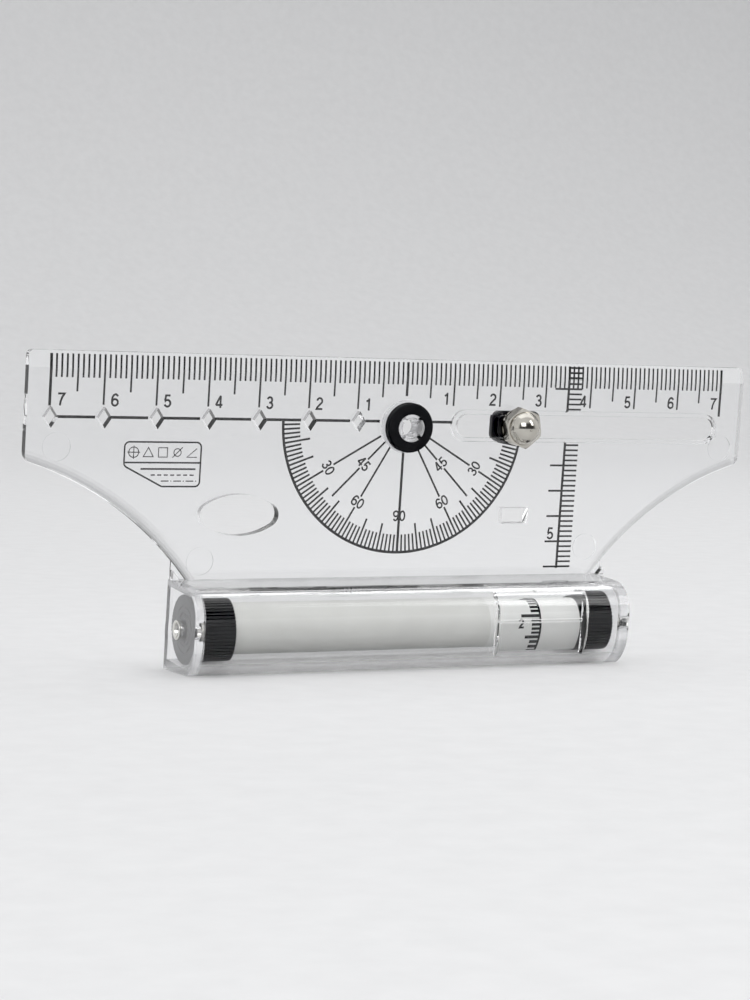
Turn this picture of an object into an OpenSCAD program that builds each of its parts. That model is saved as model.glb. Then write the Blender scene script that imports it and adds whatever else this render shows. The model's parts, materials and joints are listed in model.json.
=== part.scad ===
// Rolling set square: clear T-shaped plate on a roller housing, with a pen collet
// at scale zero and a clamping pivot slider in a slot. Millimetres, +Z up.
// It stands on the flat underside of the housing; the plate leans towards -Y.

/* [Plate] */
// Width of the plate over both scale wings
plate_w = 149; // [120:1:200]
// Height from the base to the ruling edge, measured along the plate
plate_h = 58.1; // [50:0.1:80]
// Plate thickness
plate_t = 2; // [1.5:0.1:3]
// Forward lean of the plate when it stands, degrees
lean = 5; // [0:0.5:8]
// Radius of the hollow curve under each wing
wing_r = 62.2; // [55:0.1:70]
// Width of the bevel along the hollow curve
curve_bevel = 1.9; // [0.5:0.1:3]
// Width of the bevel along the ruling edge
edge_bevel = 3; // [1:0.1:5]

/* [Holes] */
// Distance from the ruling edge to the row of compass holes
row_d = 11.83; // [10:0.01:14]
// Number of compass holes
compass_holes = 7; // [3:1:7]
// Width of a compass hole
hole_w = 2.5; // [1.5:0.1:3]
// Height of a compass hole
hole_h = 3.8; // [2:0.1:5]
// Half length of the oval hole
oval_a = 7.8; // [5:0.1:10]
// Half height of the oval hole
oval_b = 3.85; // [2.5:0.05:5]

/* [Slot and slider] */
// Distance from the ruling edge to the middle of the slot
slot_d = 12.4; // [11:0.1:14]
// Left end of the slot
slot_x0 = 9.6; // [8:0.1:12]
// Right end of the slot
slot_x1 = 69.2; // [60:0.1:71]
// Slot width at the paper side
slot_w = 6.1; // [5:0.1:8]
// Slot width between the front lips
lip_w = 4.5; // [4.2:0.1:6]
// Position of the slider's stud along the plate
slider_x = 23.55; // [15:0.05:60]
// Length of the slide block
block_len = 10.3; // [8:0.1:14]
// Nut size across corners, radius
nut_r = 4.04; // [3.5:0.01:5]

/* [Collet] */
// Distance from the ruling edge to the middle of the collet
collet_d = 12.75; // [11:0.05:14]
// Bore of the pen collet, radius
pen_r = 1.7; // [1:0.1:3]
// Rubber ring outer radius
ring_r = 4.7; // [4:0.1:6]
// Finger outer radius
finger_r = 2.6; // [2.4:0.05:3.5]

/* [Roller] */
// Left end of the housing
house_x0 = -45.7; // [-50:0.1:-40]
// Right end of the housing
house_x1 = 43.9; // [40:0.1:50]
// Depth of the housing from the paper side
house_d = 14.8; // [13:0.1:18]
// Height of the housing
house_h = 16.6; // [15:0.1:20]
// Wall thickness of the housing
wall = 1.4; // [1:0.1:2]
// Thickness of the end walls
cap_t = 2; // [1.5:0.1:3]
// Wheel radius over the ribs
wheel_r = 6.37; // [5:0.01:8]
// Wheel width
wheel_w = 6.1; // [4:0.1:8]
// Number of ribs on each tyre
ribs = 60; // [40:1:80]
// Drum radius
drum_r = 5.15; // [4:0.05:6]
// Left edge of the reading window
win_x0 = 16; // [10:0.1:20]
// Right edge of the reading window
win_x1 = 35.4; // [30:0.1:36]
// Height of the window's hairline
hair_z = 9.9; // [7:0.1:12]

/* [Hidden] */
$fn = 96;
row_z = plate_h - row_d;
slot_z = plate_h - slot_d;
collet_z = plate_h - collet_d;
curve_x = 92.07;
curve_z = plate_h - 79.31;
neck_l = -45.5;
neck_r = 45.1;
front_y = -plate_t;
ax_y = 0.4 - wheel_r;
ax_z = 8.4;
lw_x0 = house_x0 + cap_t + 0.7;
rw_x1 = house_x1 - cap_t - 0.4;
lw_x1 = lw_x0 + wheel_w;
rw_x0 = rw_x1 - wheel_w;
drum_x1 = rw_x0 - 0.7;
base_shift = 7.866;
weld = 0.005; // the glued end walls bite this far into the housing
gap = 0.03; // air between the window pane and the housing front
clear_plastic = [0.86, 0.91, 0.94, 0.35];
nickel = [0.78, 0.77, 0.73];
steel = [0.66, 0.67, 0.68];
dark = [0.09, 0.09, 0.1];
grey = [0.3, 0.31, 0.32];
white = [0.9, 0.9, 0.88];

// puts plate coordinates into the standing pose
module stand() {
  translate([0, base_shift, 0]) rotate([lean, 0, 0]) children();
}

// extrudes an x,z outline from depth y1 (front) back to y0
module sheet(y0, y1) {
  translate([0, y0, 0]) rotate([90, 0, 0]) linear_extrude(y0 - y1) children();
}

// turned or extruded features along the plate's normal, growing towards the front
module outward(x, y, z) {
  translate([x, y, z]) rotate([90, 0, 0]) children();
}

// features along the roller axis
module along(x) {
  translate([x, ax_y, ax_z]) rotate([90, 0, 90]) children();
}

// rounded-off tip below each wing
module tip_trim() {
  c = [plate_w / 2 - 2, curve_z + sqrt(pow(wing_r + 2, 2) - pow(plate_w / 2 - 2 - curve_x, 2))];
  d = [curve_x - c[0], curve_z - c[1]] / (wing_r + 2);
  difference() {
    polygon([c, [c[0] + 4, c[1]], [c[0] + 4, c[1] - 6], c + 6 * d]);
    translate(c) circle(r = 2);
  }
}

module top_trim() {
  difference() {
    translate([plate_w / 2 - 1, plate_h - 1]) square(2);
    translate([plate_w / 2 - 1, plate_h - 1]) circle(r = 1);
  }
}

module plate_outline() {
  difference() {
    translate([-plate_w / 2, house_h]) square([plate_w, plate_h - house_h]);
    // the hollow curves run out into a straight neck
    difference() {
      union() {
        for (s = [-1, 1]) translate([s * curve_x, curve_z]) circle(r = wing_r, $fn = 240);
        translate([-plate_w / 2 - 1, house_h - 1]) square([plate_w + 2, 4]);
      }
      translate([neck_l, 0]) square([neck_r - neck_l, plate_h]);
    }
    tip_trim();
    mirror([1, 0]) tip_trim();
    top_trim();
    mirror([1, 0]) top_trim();
  }
}

module track(w) {
  x0 = slot_x0 + slot_w / 2;
  x1 = slot_x1 - slot_w / 2;
  translate([x0, slot_z]) circle(d = w);
  translate([x1, slot_z]) circle(d = w);
  translate([x0, slot_z - w / 2]) square([x1 - x0, w]);
}

// four-centred oval
module oval(a, b, r) {
  big = (pow(a - r, 2) + b * b - r * r) / (2 * (b - r));
  xt = (a - r) * big / (big - r);
  for (s = [-1, 1]) translate([s * (a - r), 0]) circle(r = r);
  intersection() {
    translate([0, b - big]) circle(r = big, $fn = 180);
    translate([0, big - b]) circle(r = big, $fn = 180);
    square([2 * xt, 2 * b + 2], center = true);
  }
}

module plate() color(clear_plastic) stand() difference() {
  sheet(0, front_y) difference() {
    plate_outline();
    track(lip_w);
    for (i = [1 : compass_holes]) translate([-10 * i, row_z]) polygon([[hole_w / 2, 0],
      [0, hole_h / 2], [-hole_w / 2, 0], [0, -hole_h / 2]]);
    translate([-33.2, plate_h - 29.4]) oval(oval_a, oval_b, 2.3);
    translate([21.4, plate_h - 31.2]) square([5.7, 3]);
  }
  sheet(1, front_y + 1) track(slot_w);
  // ruling edge bevel
  translate([-plate_w / 2 - 1, 0, plate_h]) rotate([90, 0, 90]) linear_extrude(plate_w + 2)
    polygon([[front_y - 0.2, -edge_bevel * 1.3], [front_y - 0.2, 1], [-1.35, 1],
      [-1.35, 0], [front_y, -edge_bevel]]);
  // rounded front edge along the hollow curves
  for (s = [-1, 1]) outward(s * curve_x, 0, curve_z) rotate_extrude($fn = 240)
    polygon(concat([[wing_r - 1, plate_t + 1], [wing_r - 1, 0.5]],
      [for (a = [0 : 18 : 90]) [wing_r + curve_bevel * (1 - cos(a)), 0.5 + (plate_t - 0.5) * sin(a)]],
      [[wing_r + curve_bevel, plate_t + 1]]));
  // seat of the collet
  outward(0, 0.1, collet_z) cylinder(h = 1.1, r = 5);
  outward(0, 0, collet_z) cylinder(h = plate_t + 1, r = 3.4);
  // faint ejector marks
  for (p = [[-40, 20], [-68.4, 40.9], [70.6, 41.8], [41, 22]])
    outward(p[0], 0.1, p[1]) cylinder(h = 0.25, r = 2.6);
}

// housing section in y,z: flat back, rounded front, grown inwards by k
module d_section(k) {
  rt = 5.5 - k;
  rb = 7.5 - k;
  yf = -house_d + k;
  zt = house_h - k;
  zb = k == 0 ? -0.1 : 1.8;
  by = k == 0 ? 0 : 2;
  translate([yf + rt, zt - rt]) circle(r = rt);
  translate([yf + rb, zb + rb]) circle(r = rb);
  translate([yf, zb + rb]) square([rb + rt, zt - rt - zb - rb]);
  translate([yf + rt, zt - rt - 1]) square([by - yf - rt, rt + 1]);
  translate([yf + rb, zb]) square([by - yf - rb, zt - zb - rt]);
}

module end_section() {
  difference() {
    d_section(0);
    rotate(-lean) translate([-30, -10]) square([60, 10]);
  }
}

module housing() color(clear_plastic) stand()
  translate([house_x0 + cap_t, 0, 0]) rotate([90, 0, 90])
    linear_extrude(house_x1 - house_x0 - 2 * cap_t) difference() {
      end_section();
      d_section(wall);
    }

// end wall with a bore for the axle and a seat for the eyelet, which opens at seat_x
module cap(x, seat_x) color(clear_plastic) stand() difference() {
  translate([x, 0, 0]) rotate([90, 0, 90]) linear_extrude(cap_t + weld) end_section();
  along(x - 1) cylinder(h = cap_t + 2, r = 1.3);
  along(seat_x) cylinder(h = 1.6, r = 1.6, center = true);
}

module cap_left() cap(house_x0, house_x0);
module cap_right() cap(house_x1 - cap_t - weld, house_x1);

// short flanged eyelet, shoulder on the outer face
module bush() {
  difference() {
    union() {
      cylinder(h = 0.8, r = 1.6);
      translate([0, 0, 0.8]) cylinder(h = 0.2, r = 1.8);
    }
    translate([0, 0, -1]) cylinder(h = 3, r = 1.3);
    translate([0, 0, 0.85]) cylinder(h = 1, r1 = 1.3, r2 = 2.3);
  }
}

module bush_left() color(nickel) stand() along(house_x0 + 0.8) mirror([0, 0, 1]) bush();
module bush_right() color(nickel) stand() along(house_x1 - 0.8) bush();

// reading window: pane that follows the housing front, stiffened by a rim at each end
module window_rim(x, w) difference() {
  translate([x, -house_d + wall + gap, 2.6]) cube([w, 1.7, 12]);
  // rounded front corners that follow the housing
  translate([x - 1, 0, 0]) rotate([90, 0, 90]) linear_extrude(w + 2)
    difference() {
      translate([-house_d, 0]) square([10, 18]);
      d_section(wall);
    }
}

module window() color(clear_plastic) stand() difference() {
  union() {
    translate([win_x0, 0, 0]) rotate([90, 0, 90]) linear_extrude(win_x1 - win_x0) {
      intersection() {
        translate([-house_d, 2.6]) square([1 + wall, 8.6]);
        d_section(wall + gap);
      }
      intersection() {
        translate([-house_d, 11.1]) square([4.6, 5]);
        difference() {
          d_section(wall + gap);
          d_section(wall + 1);
        }
      }
    }
    window_rim(win_x0, 0.5);
    window_rim(win_x1 - 0.9, 0.9);
  }
  // hairline groove, rounded at its right end
  outward(win_x0 + 0.8, -house_d + wall + 1.3, hair_z) {
    translate([0, -0.28, 0]) cube([win_x1 - win_x0 - 2.05, 0.56, 0.6]);
    translate([win_x1 - win_x0 - 2.05, 0, 0]) cylinder(h = 0.6, r = 0.28);
  }
}

module collet() color(clear_plastic) stand() outward(0, 0, collet_z) difference() {
  union() {
    cylinder(h = 1, r = 5);
    cylinder(h = plate_t, r = 3.4);
    cylinder(h = plate_t + 1.8, r = finger_r);
  }
  translate([0, 0, -1]) cylinder(h = 6, r = pen_r);
  translate([0, 0, plate_t + 1.4]) cylinder(h = 0.6, r1 = pen_r, r2 = pen_r + 0.6);
  for (a = [45, 135]) rotate(a) translate([-4, -0.4, plate_t + 0.2]) cube([8, 0.8, 3]);
}

module collet_ring() color(dark) stand() outward(0, front_y, collet_z) rotate_extrude()
  difference() {
    translate([finger_r, 0]) square([ring_r - finger_r, 1.5]);
    translate([ring_r - 0.4, 1.1]) difference() {
      square(1);
      circle(r = 0.4);
    }
  }

module drum() color(white) stand() difference() {
  along(lw_x1) cylinder(h = drum_x1 - lw_x1, r = drum_r);
  along(lw_x1 - 1) cylinder(h = drum_x1 - lw_x1 + 2, r = 4);
  along(win_x0 - 0.5) difference() {
    cylinder(h = 30, r = drum_r + 1);
    translate([0, 0, -1]) cylinder(h = 32, r = drum_r - 0.2);
  }
}

module scale_sleeve() color(white) stand() difference() {
  along(win_x0 - 0.5) cylinder(h = drum_x1 - win_x0 + 0.5, r = drum_r);
  along(win_x0 - 1) cylinder(h = 30, r = drum_r - 0.2);
}

// wheel hub with a ringed side face and a spigot for the drum
module hub(gap) {
  difference() {
    union() {
      cylinder(h = wheel_w, r = 5.5);
      translate([0, 0, -0.35]) cylinder(h = 1, r = 2.4);
      translate([0, 0, wheel_w - 0.1]) cylinder(h = gap + 0.1, r = 4.6);
      cylinder(h = wheel_w + gap + 6, r = 3.95);
    }
    translate([0, 0, -1]) cylinder(h = 30, r = 1.25);
    for (r = [2.9, 4.1]) translate([0, 0, -1]) difference() {
      cylinder(h = 1.25, r = r + 0.25);
      cylinder(h = 1.25, r = r - 0.05);
    }
  }
}

module hub_left() color(grey) stand() along(lw_x0) hub(0);
module hub_right() color(grey) stand() along(rw_x1) mirror([0, 0, 1]) hub(0.7);

module tyre() {
  linear_extrude(wheel_w) difference() {
    union() {
      circle(r = wheel_r - 0.25);
      for (i = [0 : ribs - 1]) rotate(i * 360 / ribs)
        translate([wheel_r - 0.6, -0.17]) square([0.6, 0.34]);
    }
    circle(r = 5.5);
  }
}

module tyre_left() color(dark) stand() along(lw_x0) tyre();
module tyre_right() color(dark) stand() along(rw_x0) tyre();

// tube, its ends set back in the end walls
module axle() color(steel) stand() along(house_x0 + 1.6) difference() {
  cylinder(h = house_x1 - house_x0 - 3.2, r = 1.25);
  translate([0, 0, -1]) cylinder(h = house_x1 - house_x0, r = 0.95);
}

module block_outline(w, l, r) {
  for (i = [-1, 1], j = [-1, 1]) translate([i * (l / 2 - r), j * (w / 2 - r)]) circle(r = r);
  square([l - 2 * r, w], center = true);
  square([l, w - 2 * r], center = true);
}

module slide_block() color(dark) stand() outward(slider_x, -0.05, slot_z) difference() {
  union() {
    linear_extrude(0.9) block_outline(slot_w - 0.1, block_len, 1.6);
    linear_extrude(plate_t - 0.1) block_outline(lip_w - 0.1, block_len - 1.6, 1.4);
  }
  translate([0, 0, -1]) cylinder(h = 4, r = 1.95);
  translate([0, 0, -1]) cylinder(h = 1.6, r = 2.45);
}

module stud() color(steel) stand() outward(slider_x, -0.1, slot_z) difference() {
  union() {
    cylinder(h = 0.55, r = 2.45);
    cylinder(h = 6, r = 1.95);
  }
  translate([0, 0, -1]) cylinder(h = 3, r = 0.6);
}

module needle() color(steel) stand() outward(slider_x, 0, slot_z) {
  translate([0, 0, 0.1]) cylinder(h = 1.8, r = 0.6);
  translate([0, 0, -0.7]) cylinder(h = 0.8, r1 = 0.05, r2 = 0.6);
}

module washer() color(nickel) stand() outward(slider_x, front_y - 0.04, slot_z) difference() {
  cylinder(h = 0.5, r = 3.6);
  translate([0, 0, -1]) cylinder(h = 2, r = 2.03);
}

// low cap nut with a hexagon foot and a round dome
module acorn_nut() color(nickel) stand() outward(slider_x, front_y - 0.58, slot_z) difference() {
  union() {
    intersection() {
      rotate(40) cylinder(h = 2.2, r = nut_r, $fn = 6);
      cylinder(h = 2.2, r1 = 3.75, r2 = 6);
      cylinder(h = 2.2, r1 = 6, r2 = 3.75);
    }
    translate([0, 0, 1.6]) sphere(r = 3.27);
    cylinder(h = 1.6, r = 3.27);
  }
  translate([0, 0, -4]) cylinder(h = 4, r = 5);
  translate([0, 0, -1]) cylinder(h = 4.6, r = 2.01);
}

plate();
housing();
cap_left();
cap_right();
bush_left();
bush_right();
window();
collet();
collet_ring();
drum();
scale_sleeve();
hub_left();
hub_right();
tyre_left();
tyre_right();
axle();
slide_block();
stud();
needle();
washer();
acorn_nut();
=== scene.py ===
"""Looks for the rolling set square: clear plastic, printed scales, ribbed wheels and a nickel cap nut."""
import json
from math import atan2, cos, pi, radians, sin

import bpy
from mathutils import Matrix, Vector


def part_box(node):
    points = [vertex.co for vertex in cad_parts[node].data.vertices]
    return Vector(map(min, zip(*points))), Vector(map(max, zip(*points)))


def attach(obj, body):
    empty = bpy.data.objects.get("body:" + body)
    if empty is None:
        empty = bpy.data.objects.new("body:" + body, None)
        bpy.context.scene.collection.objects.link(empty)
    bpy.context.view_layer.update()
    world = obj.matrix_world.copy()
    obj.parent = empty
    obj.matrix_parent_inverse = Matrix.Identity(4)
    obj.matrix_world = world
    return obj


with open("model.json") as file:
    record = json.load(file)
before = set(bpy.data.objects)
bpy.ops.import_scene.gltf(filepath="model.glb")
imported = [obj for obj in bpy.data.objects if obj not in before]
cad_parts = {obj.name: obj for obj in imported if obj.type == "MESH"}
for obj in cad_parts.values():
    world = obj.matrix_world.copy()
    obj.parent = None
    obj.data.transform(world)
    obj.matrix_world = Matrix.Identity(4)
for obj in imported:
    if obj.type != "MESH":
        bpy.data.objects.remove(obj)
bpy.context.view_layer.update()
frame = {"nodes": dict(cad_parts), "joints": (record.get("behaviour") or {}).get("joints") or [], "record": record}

MM = 0.001
MOUNTS = {m["name"]: m for m in frame["record"]["mounts"]}
JOINTS = {j["name"]: j for j in frame["joints"]}

# The plate leans: its own x, y (out of the paper side) and z (up the plate) axes in the row frame.
_n = MOUNTS["paper_face"]["axis"]
LEAN = atan2(_n[2], _n[1])
_p = MOUNTS["paper_face"]["pos_m"]
SHIFT_Y = _p[1] + _p[2] * sin(LEAN) / cos(LEAN)
PLATE_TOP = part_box("plate")[1].z / cos(LEAN) / MM  # height of the ruling edge along the plate, mm


def at(x, y, z):
    """Row-frame point of plate coordinates in millimetres; z counts down from the ruling edge."""
    z = PLATE_TOP + z
    back, up = y * cos(LEAN) - z * sin(LEAN), y * sin(LEAN) + z * cos(LEAN)
    return Vector((x * MM, back * MM + SHIFT_Y, up * MM))


# ---------------------------------------------------------------- materials

def shader(name):
    m = bpy.data.materials.new(name)
    m.use_nodes = True
    nt = m.node_tree
    return m, nt, nt.nodes["Principled BSDF"]


def noise(nt, scale, detail=4.0, rough=0.55, stretch=(1, 1, 1)):
    """Noise in object space, in metres, so it stays with the piece."""
    tc = nt.nodes.new("ShaderNodeTexCoord")
    mp = nt.nodes.new("ShaderNodeMapping")
    mp.inputs["Scale"].default_value = stretch
    tx = nt.nodes.new("ShaderNodeTexNoise")
    tx.inputs["Scale"].default_value = scale
    tx.inputs["Detail"].default_value = detail
    tx.inputs["Roughness"].default_value = rough
    nt.links.new(tc.outputs["Object"], mp.inputs["Vector"])
    nt.links.new(mp.outputs["Vector"], tx.inputs["Vector"])
    return tx.outputs["Fac"]


def ramp(nt, fac, stops):
    r = nt.nodes.new("ShaderNodeValToRGB")
    r.color_ramp.elements[0].position, r.color_ramp.elements[0].color = stops[0][0], (*stops[0][1], 1)
    r.color_ramp.elements[1].position, r.color_ramp.elements[1].color = stops[-1][0], (*stops[-1][1], 1)
    for p, c in stops[1:-1]:
        r.color_ramp.elements.new(p).color = (*c, 1)
    nt.links.new(fac, r.inputs["Fac"])
    return r.outputs["Color"]


def spread(nt, fac, low, high):
    m = nt.nodes.new("ShaderNodeMapRange")
    m.inputs["To Min"].default_value, m.inputs["To Max"].default_value = low, high
    nt.links.new(fac, m.inputs["Value"])
    return m.outputs["Result"]


def bump(nt, bsdf, fac, strength, distance):
    b = nt.nodes.new("ShaderNodeBump")
    b.inputs["Strength"].default_value = strength
    b.inputs["Distance"].default_value = distance
    nt.links.new(fac, b.inputs["Height"])
    nt.links.new(b.outputs["Normal"], bsdf.inputs["Normal"])


def plastic(name, dark, light, rough=(0.3, 0.5), grain=1500, depth=0.00002, strength=0.25, gloss=0.5):
    m, nt, b = shader(name)
    b.inputs["Specular IOR Level"].default_value = gloss
    nt.links.new(ramp(nt, noise(nt, 160), [(0.3, dark), (0.7, light)]), b.inputs["Base Color"])
    nt.links.new(spread(nt, noise(nt, 600), *rough), b.inputs["Roughness"])
    bump(nt, b, noise(nt, grain), strength, depth)
    return m


def clear(name, tint_a, tint_b, rough=(0.0, 0.03), milk=0.0, mirror=1.0):
    """Polished clear plastic with faint colour drift, handling haze and moulding ripple.

    milk is its cloudy share, mirror the strength of its head-on reflections.
    """
    m, nt, b = shader(name)
    b.inputs["Specular Tint"].default_value = (mirror, mirror, mirror, 1)
    b.inputs["Transmission Weight"].default_value = 1.0 - milk
    b.inputs["IOR"].default_value = 1.49
    nt.links.new(ramp(nt, noise(nt, 40), [(0.3, tint_a), (0.7, tint_b)]), b.inputs["Base Color"])
    nt.links.new(spread(nt, noise(nt, 180, 6), *rough), b.inputs["Roughness"])
    bump(nt, b, noise(nt, 60, 2), 0.1, 0.00002)
    return m


def metal(name, dark, light, rough, stretch=(1, 1, 1), grain=900, strength=0.1):
    m, nt, b = shader(name)
    b.inputs["Metallic"].default_value = 1.0
    drift = noise(nt, 300, 3, 0.5, stretch)
    nt.links.new(ramp(nt, drift, [(0.35, dark), (0.65, light)]), b.inputs["Base Color"])
    nt.links.new(spread(nt, noise(nt, grain, 5, 0.6, stretch), *rough), b.inputs["Roughness"])
    bump(nt, b, noise(nt, grain, 3, 0.5, stretch), strength, 0.00001)
    return m


CLEAR = clear("clear_acrylic", (0.985, 0.988, 0.992), (0.995, 0.997, 1.0))
SHELL = clear("clear_shell", (0.975, 0.978, 0.98), (0.99, 0.992, 0.993), mirror=0.4)
END_WALL = clear("clear_end_wall", (0.94, 0.942, 0.955), (0.97, 0.972, 0.98), (0.0, 0.03), 0.03)
COLLET = clear("clear_collet", (0.93, 0.93, 0.95), (0.97, 0.97, 0.98), (0.05, 0.15), 0.3)
LENS = clear("clear_lens", (0.985, 0.988, 0.99), (0.997, 0.997, 0.998), (0.0, 0.02), mirror=0.4)
RUBBER = plastic("black_rubber", (0.008, 0.008, 0.009), (0.016, 0.016, 0.018), (0.5, 0.7), 2200, 0.00003,
                 0.35, 0.25)
HUB = plastic("hub_plastic", (0.014, 0.015, 0.016), (0.024, 0.026, 0.027), (0.5, 0.7), 1800, gloss=0.3)
# white drum and sleeve, coloured greyer as painted shade for the shadow the clear housing no longer casts
DRUM_PAINTED_SHADE = plastic("drum_white", (0.54, 0.542, 0.525), (0.58, 0.582, 0.564), (0.35, 0.5), 900, 0.00001)
SLEEVE_PAINTED_SHADE = plastic("sleeve_white", (0.62, 0.622, 0.61), (0.67, 0.672, 0.66), (0.3, 0.45), 900, 0.00001)
BLOCK = plastic("black_plastic", (0.008, 0.008, 0.01), (0.018, 0.018, 0.02), (0.25, 0.45), 2000)
NICKEL = metal("nickel_plate", (0.46, 0.44, 0.40), (0.58, 0.56, 0.51), (0.08, 0.18))
EYELET = metal("bright_nickel", (0.74, 0.73, 0.70), (0.86, 0.85, 0.82), (0.15, 0.3))
STEEL = metal("drawn_steel", (0.42, 0.42, 0.42), (0.55, 0.55, 0.55), (0.2, 0.38), (0.1, 1, 1))
# axle steel painted near-black: painted shade, so its end seen down the eyelet's bore reads dark
AXLE_STEEL_PAINTED_DARK = metal("axle_steel_painted_dark", (0.05, 0.05, 0.05), (0.09, 0.09, 0.09), (0.35, 0.5), (0.1, 1, 1))
INK = plastic("printed_ink", (0.001, 0.001, 0.0015), (0.004, 0.004, 0.005), (0.5, 0.7), 2500, 0.00001,
              0.25, 0.2)
HAIR = plastic("white_hairline", (0.93, 0.93, 0.92), (0.98, 0.98, 0.97), (0.4, 0.6), 2000, 0.00001)

FINISH = {
    "plate": CLEAR, "housing": SHELL, "cap_left": END_WALL, "cap_right": END_WALL,
    "collet": COLLET, "window": LENS,
    "bush_left": EYELET, "bush_right": EYELET, "collet_ring": RUBBER, "drum": DRUM_PAINTED_SHADE, "scale_sleeve": SLEEVE_PAINTED_SHADE,
    "hub_left": HUB, "hub_right": HUB, "tyre_left": RUBBER, "tyre_right": RUBBER, "axle": AXLE_STEEL_PAINTED_DARK,
    "slide_block": BLOCK, "stud": STEEL, "needle": STEEL, "washer": NICKEL, "acorn_nut": NICKEL,
}
for name, finish in FINISH.items():
    data = frame["nodes"][name].data
    data.materials.clear()
    data.materials.append(finish)
    # clear pieces let the lamps' light through to the roller and the floor
    frame["nodes"][name].visible_shadow = finish not in (CLEAR, SHELL, END_WALL, COLLET, LENS)

# ---------------------------------------------------------------- printed marks

FINE, MID, BOLD = 0.36, 0.38, 0.52  # line widths, mm
GAP = 0.012  # ink stands this far off the surface, mm
TOP = -0.7  # where the scale's ticks start
ROW = -11.83  # the row of compass holes and the protractor's centre


def bow(cx, cy, rx, ry, a0, a1, n=14):
    """Points along an ellipse from angle a0 to a1, degrees."""
    return [(cx + rx * cos(radians(a0 + (a1 - a0) * i / n)), cy + ry * sin(radians(a0 + (a1 - a0) * i / n)))
            for i in range(n + 1)]


SIX = [bow(0.285, 0.31, 0.215, 0.25, 0, 360, 24), bow(0.31, 0.47, 0.24, 0.47, 187, 42)]
NUMERALS = {
    "0": [bow(0.28, 0.5, 0.215, 0.44, 0, 360, 28)],
    "1": [[(0.33, 0.0), (0.33, 1.0)], [(0.33, 0.93), (0.24, 0.8), (0.11, 0.74)]],
    "2": [bow(0.275, 0.7, 0.2, 0.24, 170, -28) + [(0.33, 0.45), (0.12, 0.2), (0.06, 0.06), (0.52, 0.06)]],
    "3": [bow(0.27, 0.72, 0.175, 0.22, 165, -80) + [(0.22, 0.51)], bow(0.27, 0.285, 0.21, 0.23, 95, -165)],
    "4": [[(0.38, 0.0), (0.38, 0.97)], [(0.41, 0.94), (0.35, 0.92), (0.06, 0.3), (0.06, 0.24)],
          [(0.03, 0.25), (0.54, 0.25)]],
    "5": [[(0.48, 0.93), (0.15, 0.93), (0.09, 0.5)],
          [(0.075, 0.47)] + bow(0.275, 0.31, 0.215, 0.26, 145, -160)],
    "6": SIX,
    "7": [[(0.04, 0.93), (0.51, 0.93), (0.36, 0.68), (0.25, 0.35), (0.2, 0.0)]],
    "8": [bow(0.28, 0.725, 0.165, 0.21, 0, 360, 22), bow(0.28, 0.275, 0.21, 0.22, 0, 360, 24)],
    "9": [[(0.56 - a, 1 - b) for a, b in pts] for pts in SIX],
}


class Print:
    """Flat printed marks gathered into one mesh. put() turns (x, z) in millimetres into a row-frame point."""

    def __init__(self, name, put, body):
        self.name, self.put, self.body = name, put, body
        self.verts, self.faces = [], []

    def poly(self, pts):
        n = len(self.verts)
        self.verts += [self.put(x, z) for x, z in pts]
        self.faces.append(tuple(range(n, n + len(pts))))

    def line(self, a, b, w=FINE):
        a, b = Vector(a), Vector(b)
        s = Vector((a.y - b.y, b.x - a.x)).normalized() * w / 2
        steps = max(1, int((b - a).length / 0.5)) if self.body == "roller" else 1
        for i in range(steps):
            p, q = a.lerp(b, i / steps), a.lerp(b, (i + 1) / steps)
            self.poly([p + s, p - s, q - s, q + s])

    def arc(self, c, r, a0, a1, w=FINE, step=2):
        n = max(1, round(abs(a1 - a0) / step))
        for i in range(n):
            t0, t1 = (radians(a0 + (a1 - a0) * k / n) for k in (i, i + 1))
            self.poly([(c[0] + q * cos(t), c[1] + q * sin(t))
                       for q, t in ((r - w / 2, t0), (r + w / 2, t0), (r + w / 2, t1), (r - w / 2, t1))])

    def stroke(self, pts, w):
        """A strip of width w along a polyline, mitred at its bends."""
        pts = [Vector(q) for q in pts]
        n = len(self.verts)
        for i, q in enumerate(pts):
            d0 = (q - pts[i - 1]).normalized() if i else (pts[1] - q).normalized()
            d1 = (pts[i + 1] - q).normalized() if i + 1 < len(pts) else d0
            t = (d0 + d1).normalized()
            s = Vector((-t.y, t.x)) * w / 2 / max(0.5, t.dot(d0))
            self.verts += [self.put(*(q + s)), self.put(*(q - s))]
        self.faces += [(n + 2 * i, n + 2 * i + 1, n + 2 * i + 3, n + 2 * i + 2) for i in range(len(pts) - 1)]

    def text(self, words, x, z, tall, turn=0.0, weight=0.165):
        """Numerals centred on (x, z), tall millimetres high, turned by that many degrees."""
        t = radians(turn)
        for i, c in enumerate(words):
            shift = (i - (len(words) - 1) / 2) * 0.6 - 0.28
            for pts in NUMERALS[c]:
                local = [((a + shift) * tall * 1.12, (b - 0.5) * tall) for a, b in pts]
                self.stroke([(x + a * cos(t) - b * sin(t), z + a * sin(t) + b * cos(t)) for a, b in local],
                            weight * tall)

    def done(self, finish):
        mesh = bpy.data.meshes.new(self.name)
        mesh.from_pydata(self.verts, [], self.faces)
        mesh.materials.append(finish)
        o = bpy.data.objects.new(self.name, mesh)
        bpy.context.scene.collection.objects.link(o)
        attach(o, self.body)


def on_paper_side(x, z):
    return at(x, GAP, z)


def ruling_scale():
    p = Print("ruling_scale", on_paper_side, "frame")
    for x in range(-70, 71):
        if x in (-70, 70):
            p.line((x, TOP), (x, -9.9), BOLD)
        elif x == 0:
            p.line((x, TOP), (x, -7.0), BOLD)
        elif x % 10 == 0:
            p.line((x, TOP), (x, -9.6 if x < 0 else -8.7), MID)
        else:
            p.line((x, TOP), (x, -7.3 if x % 5 == 0 else -4.8), FINE)
    for n in range(1, 8):
        p.text(str(n), -10 * n + 2.1, -8.7, 2.3)
        p.text(str(n), 10 * n - 1.55, -7.35, 2.3)
    p.done(INK)


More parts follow.
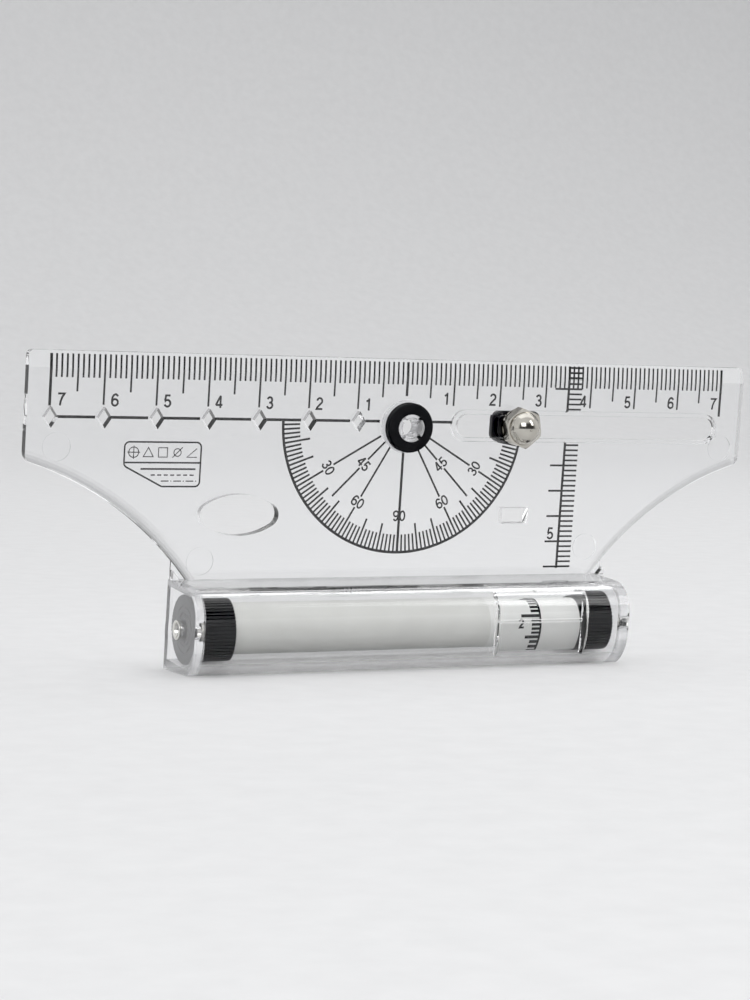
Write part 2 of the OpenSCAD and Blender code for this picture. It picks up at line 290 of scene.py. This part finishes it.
def hole_row():
    p = Print("hole_row", on_paper_side, "frame")
    for n in range(1, 8):
        x0 = -10 * n + 1.45
        x1 = -10 * (n - 1) - 1.45 if n > 1 else -5.3
        p.line((x0, ROW), (x1, ROW), BOLD)
    p.line((4.6, ROW), (9.7, ROW), BOLD)
    p.done(INK)


def protractor():
    p = Print("protractor", on_paper_side, "frame")
    c, r = (0, ROW), 25.0

    def ray(deg, r0, r1, w=FINE):
        t = radians(deg)
        p.line((r0 * cos(t), ROW + r0 * sin(t)), (r1 * cos(t), ROW + r1 * sin(t)), w)

    p.arc(c, r, 180, 350, BOLD)
    for d in range(2, 172, 2):
        deg = 180 + d
        inner = 19.7 if d % 10 == 0 else 21.6
        if d % 30 and d != 170:
            ray(deg, inner, r, MID if d % 10 == 0 else FINE)
    ray(350, 20.4, r, BOLD)
    for side in (-1, 1):
        for d, label_r, end in ((30, 17.7, r), (45, 11.4, 20.1), (60, 17.7, r)):
            deg = 270 + side * (90 - d)
            ray(deg, 5.6, label_r - 1.15, MID)
            ray(deg, label_r + 1.15, end, MID)
            t = radians(deg)
            p.text(str(d), label_r * cos(t), ROW + label_r * sin(t), 2.0, deg - 270)
    ray(270, 5.2, r, BOLD)
    p.text("90", 0, ROW - 18.0, 2.0)
    p.done(INK)


def upright_scale():
    p = Print("upright_scale", on_paper_side, "frame")
    x = 35.0
    p.line((x, TOP), (x, -9.6), BOLD)
    p.line((x, -15.4), (x, -40.3), BOLD)
    for k in range(1, 41):
        if 9 < k < 16:
            continue
        p.line((x, -k), (x + 3, -k), FINE if k > 5 else MID)
        if k % 5 == 0:
            p.line((x - 3, -k), (x + 3, -k), MID)
    for k in (1, 2, 3):
        p.line((x + k, TOP), (x + k, -5), MID)
    p.text("5", x - 1.9, -33.4, 2.3)
    p.done(INK)


def symbol_box():
    """Outlined box with plain drafting symbols and sample line types."""
    p = Print("symbol_box", on_paper_side, "frame")
    x0, x1, z0, z1, r = -55.6, -40.9, -24.3, -16.2, 0.9
    corners = bow(x1 - r, z1 - r, r, r, 90, 0, 6) + bow(x1 - r, z0 + r, r, r, 0, -90, 6) \
        + bow(x0 + 7.6, z0 + r, r, r, -90, -117, 3) + bow(x0 + r, z0 + 4.3, r, r, -117, -180, 5) \
        + bow(x0 + r, z1 - r, r, r, 180, 90, 6)
    p.stroke(corners + corners[:2], 0.3)
    p.line((x0, -19.95), (x1, -19.95), 0.3)
    w, zc = 0.17, (z1 - 19.95) / 2
    for i in range(5):
        xc = x0 + 1.75 + 2.8 * i
        shape = [bow(0, 0, 0.95, 0.95, 0, 360, 24),
                 [(-0.95, -0.8), (0.95, -0.8), (0, 0.9), (-0.95, -0.8), (0, -0.8)],
                 [(-0.85, -0.85), (0.85, -0.85), (0.85, 0.85), (-0.85, 0.85), (-0.85, -0.85), (0, -0.85)],
                 bow(0, 0, 0.7, 0.7, 0, 360, 20), [(0.95, 0.75), (-0.95, -0.85), (1.0, -0.85)]][i]
        p.stroke([(xc + a, zc + b) for a, b in shape], w)
        if i == 3:
            p.line((xc - 0.95, zc - 0.95), (xc + 0.95, zc + 0.95), w)
        if i < 1:
            p.line((xc - 1.2, zc), (xc + 1.2, zc), w)
            p.line((xc, zc - 1.2), (xc, zc + 1.2), w)
    p.line((x0 + 3.2, -21.1), (x1 - 0.9, -21.1), 0.32)
    for i in range(7):
        p.line((x0 + 5.2 + 1.25 * i, -22.2), (x0 + 6.0 + 1.25 * i, -22.2), 0.24)
    for i in range(3):
        a = x0 + 7.2 + 2.4 * i
        p.line((a, -23.3), (a + 1.5, -23.3), 0.2)
        p.line((a + 1.85, -23.3), (a + 2.05, -23.3), 0.2)
    p.done(INK)


ruling_scale()
hole_row()
protractor()
upright_scale()
symbol_box()

# ---------------------------------------------------------------- roll scale on the drum

AXLE = Vector(JOINTS["roller_spin"]["pos_m"])
SLEEVE_R = (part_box("scale_sleeve")[1].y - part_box("scale_sleeve")[0].y) / 2 / MM
SLEEVE_GAP = 0.03  # the roll scale's ink stands this far off the sleeve, mm
DIVISIONS = 40  # marks once round the sleeve
ZERO_TURN = 340.5  # where the roll scale's zero sits round the drum at rest, degrees


def on_drum(x, s):
    """s runs round the drum in millimetres of roll on its surface, upwards at the front."""
    r = SLEEVE_R + SLEEVE_GAP
    t = radians(ZERO_TURN) - s / SLEEVE_R
    return AXLE + Vector((x * MM - AXLE.x, r * MM * cos(t), r * MM * sin(t)))


def roll_scale():
    p = Print("roll_scale", on_drum, "roller")
    base, turn = 26.0, 2 * pi * SLEEVE_R
    for i in range(80):
        lo, hi = turn * i / 80, turn * (i + 1) / 80
        p.poly([(base - 0.22, lo), (base - 0.22, hi), (base + 0.22, hi), (base + 0.22, lo)])
    for i in range(DIVISIONS):
        size = 4.1 if i % 10 == 0 else 3.1 if i % 5 == 0 else 1.9
        p.line((base, turn * i / DIVISIONS), (base - size, turn * i / DIVISIONS), 0.5)
        if i % 10 == 0:
            p.text(str(i // 10), base - 4.1, turn * i / DIVISIONS - 1.4, 1.7, weight=0.22)
    p.done(INK)


roll_scale()

PANE_Y = -12.4 + GAP  # back of the reading window's pane
HAIR_Z = 1.5  # the hairline's middle above the roller's axis, mm
AXIS_Z = (AXLE.z * cos(LEAN) - (AXLE.y - SHIFT_Y) * sin(LEAN)) / MM - PLATE_TOP


def on_pane(x, z):
    """Back of the reading window; z counts from the roller's axis."""
    return at(x, PANE_Y, AXIS_Z + z)


def hairline():
    """Thin outline of the reading line's groove, rounded at its right end."""
    p = Print("hairline", on_pane, "frame")
    lo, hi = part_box("window")
    x0, x1, z, r = lo.x / MM + 0.6, hi.x / MM - 1.25, HAIR_Z, 0.28
    p.stroke([(x0, z + r)] + bow(x1, z, r, r, 90, -90, 10) + [(x0, z - r)], 0.2)
    p.done(HAIR)


hairline()

# ---------------------------------------------------------------- stage, light and camera

def sweep():
    """Floor that curves up into a backdrop."""
    pts = [(-1.2, 0.0), (0.9, 0.0)]
    bend, rise = 0.5, 1.6
    pts += [(0.9 + bend * sin(radians(a)), bend - bend * cos(radians(a))) for a in range(10, 91, 10)]
    pts.append((0.9 + bend, rise))
    mesh = bpy.data.meshes.new("sweep")
    wide = 2.5
    mesh.from_pydata([(s * wide, y, z) for y, z in pts for s in (-1, 1)], [],
                     [(2 * i, 2 * i + 1, 2 * i + 3, 2 * i + 2) for i in range(len(pts) - 1)])
    for f in mesh.polygons:
        f.use_smooth = True
    mesh.materials.append(plastic("pale_paper", (0.72, 0.72, 0.725), (0.75, 0.75, 0.755), (0.7, 0.9), 400,
                                  0.0001, 0.05))
    o = bpy.data.objects.new("sweep", mesh)
    bpy.context.scene.collection.objects.link(o)


sweep()


def node(nt, kind, **values):
    n = nt.nodes.new("ShaderNode" + kind)
    for key, value in values.items():
        if key == "operation":
            n.operation = value
        else:
            n.inputs[key.replace("_", " ")].default_value = value
    return n


world = bpy.data.worlds.new("soft_room")
bpy.context.scene.world = world
world.use_nodes = True
wn = world.node_tree
tc = wn.nodes.new("ShaderNodeTexCoord")
sep = wn.nodes.new("ShaderNodeSeparateXYZ")
wn.links.new(tc.outputs["Generated"], sep.inputs["Vector"])
front = node(wn, "MapRange", From_Min=-0.45, From_Max=-0.65)
level = node(wn, "MapRange", From_Min=0.7, From_Max=0.5)
wn.links.new(sep.outputs["Y"], front.inputs["Value"])
wn.links.new(sep.outputs["Z"], level.inputs["Value"])
both = node(wn, "Math", operation="MULTIPLY")
wn.links.new(front.outputs["Result"], both.inputs[0])
wn.links.new(level.outputs["Result"], both.inputs[1])
# light walls all round, with the darker open side of the room in front
sky = ramp(wn, both.outputs["Value"], [(0.0, (0.8, 0.805, 0.81)), (1.0, (0.08, 0.08, 0.082))])
wn.links.new(sky, wn.nodes["Background"].inputs["Color"])
wn.nodes["Background"].inputs["Strength"].default_value = 1.08


def soft_box(name, place, aim, size, watts):
    light = bpy.data.lights.new(name, "AREA")
    light.shape, light.size, light.size_y, light.energy = "RECTANGLE", *size, watts
    o = bpy.data.objects.new(name, light)
    o.location = place
    o.rotation_euler = (Vector(aim) - Vector(place)).to_track_quat("-Z", "Y").to_euler()
    bpy.context.scene.collection.objects.link(o)


soft_box("overhead", (0.5, 0.5, 1.1), (0.5, 0.5, 0), (1.8, 1.4), 5.6)
soft_box("front_left", (-0.35, -0.8, 0.5), (0, 0, 0.03), (0.5, 0.4), 2.2)
soft_box("front_right", (0.55, -0.6, 0.55), (0, 0, 0.03), (0.25, 0.5), 1.4)

cam_data = bpy.data.cameras.new("camera")
cam = bpy.data.objects.new("camera", cam_data)
bpy.context.scene.collection.objects.link(cam)
cam_data.lens, cam_data.sensor_width = 87.634, 36
cam_data.shift_y = -0.0526
YAW, PITCH, ROLL = 25.414, -2.008, 1.490
cam.matrix_world = (Matrix.Translation((-0.20227, -0.40962, 0.05712)) @ Matrix.Rotation(radians(-YAW), 4, "Z")
                    @ Matrix.Rotation(radians(90 + PITCH), 4, "X") @ Matrix.Rotation(radians(ROLL), 4, "Z"))
bpy.context.scene.camera = cam
view = bpy.context.scene.view_settings
view.view_transform = "Standard"
view.use_curve_mapping = True
view.curve_mapping.black_level = (0.015, 0.015, 0.015)
view.curve_mapping.update()
# clear plastic needs long light paths
bpy.context.scene.cycles.max_bounces = 24
bpy.context.scene.cycles.transmission_bounces = 24
bpy.context.scene.cycles.glossy_bounces = 16
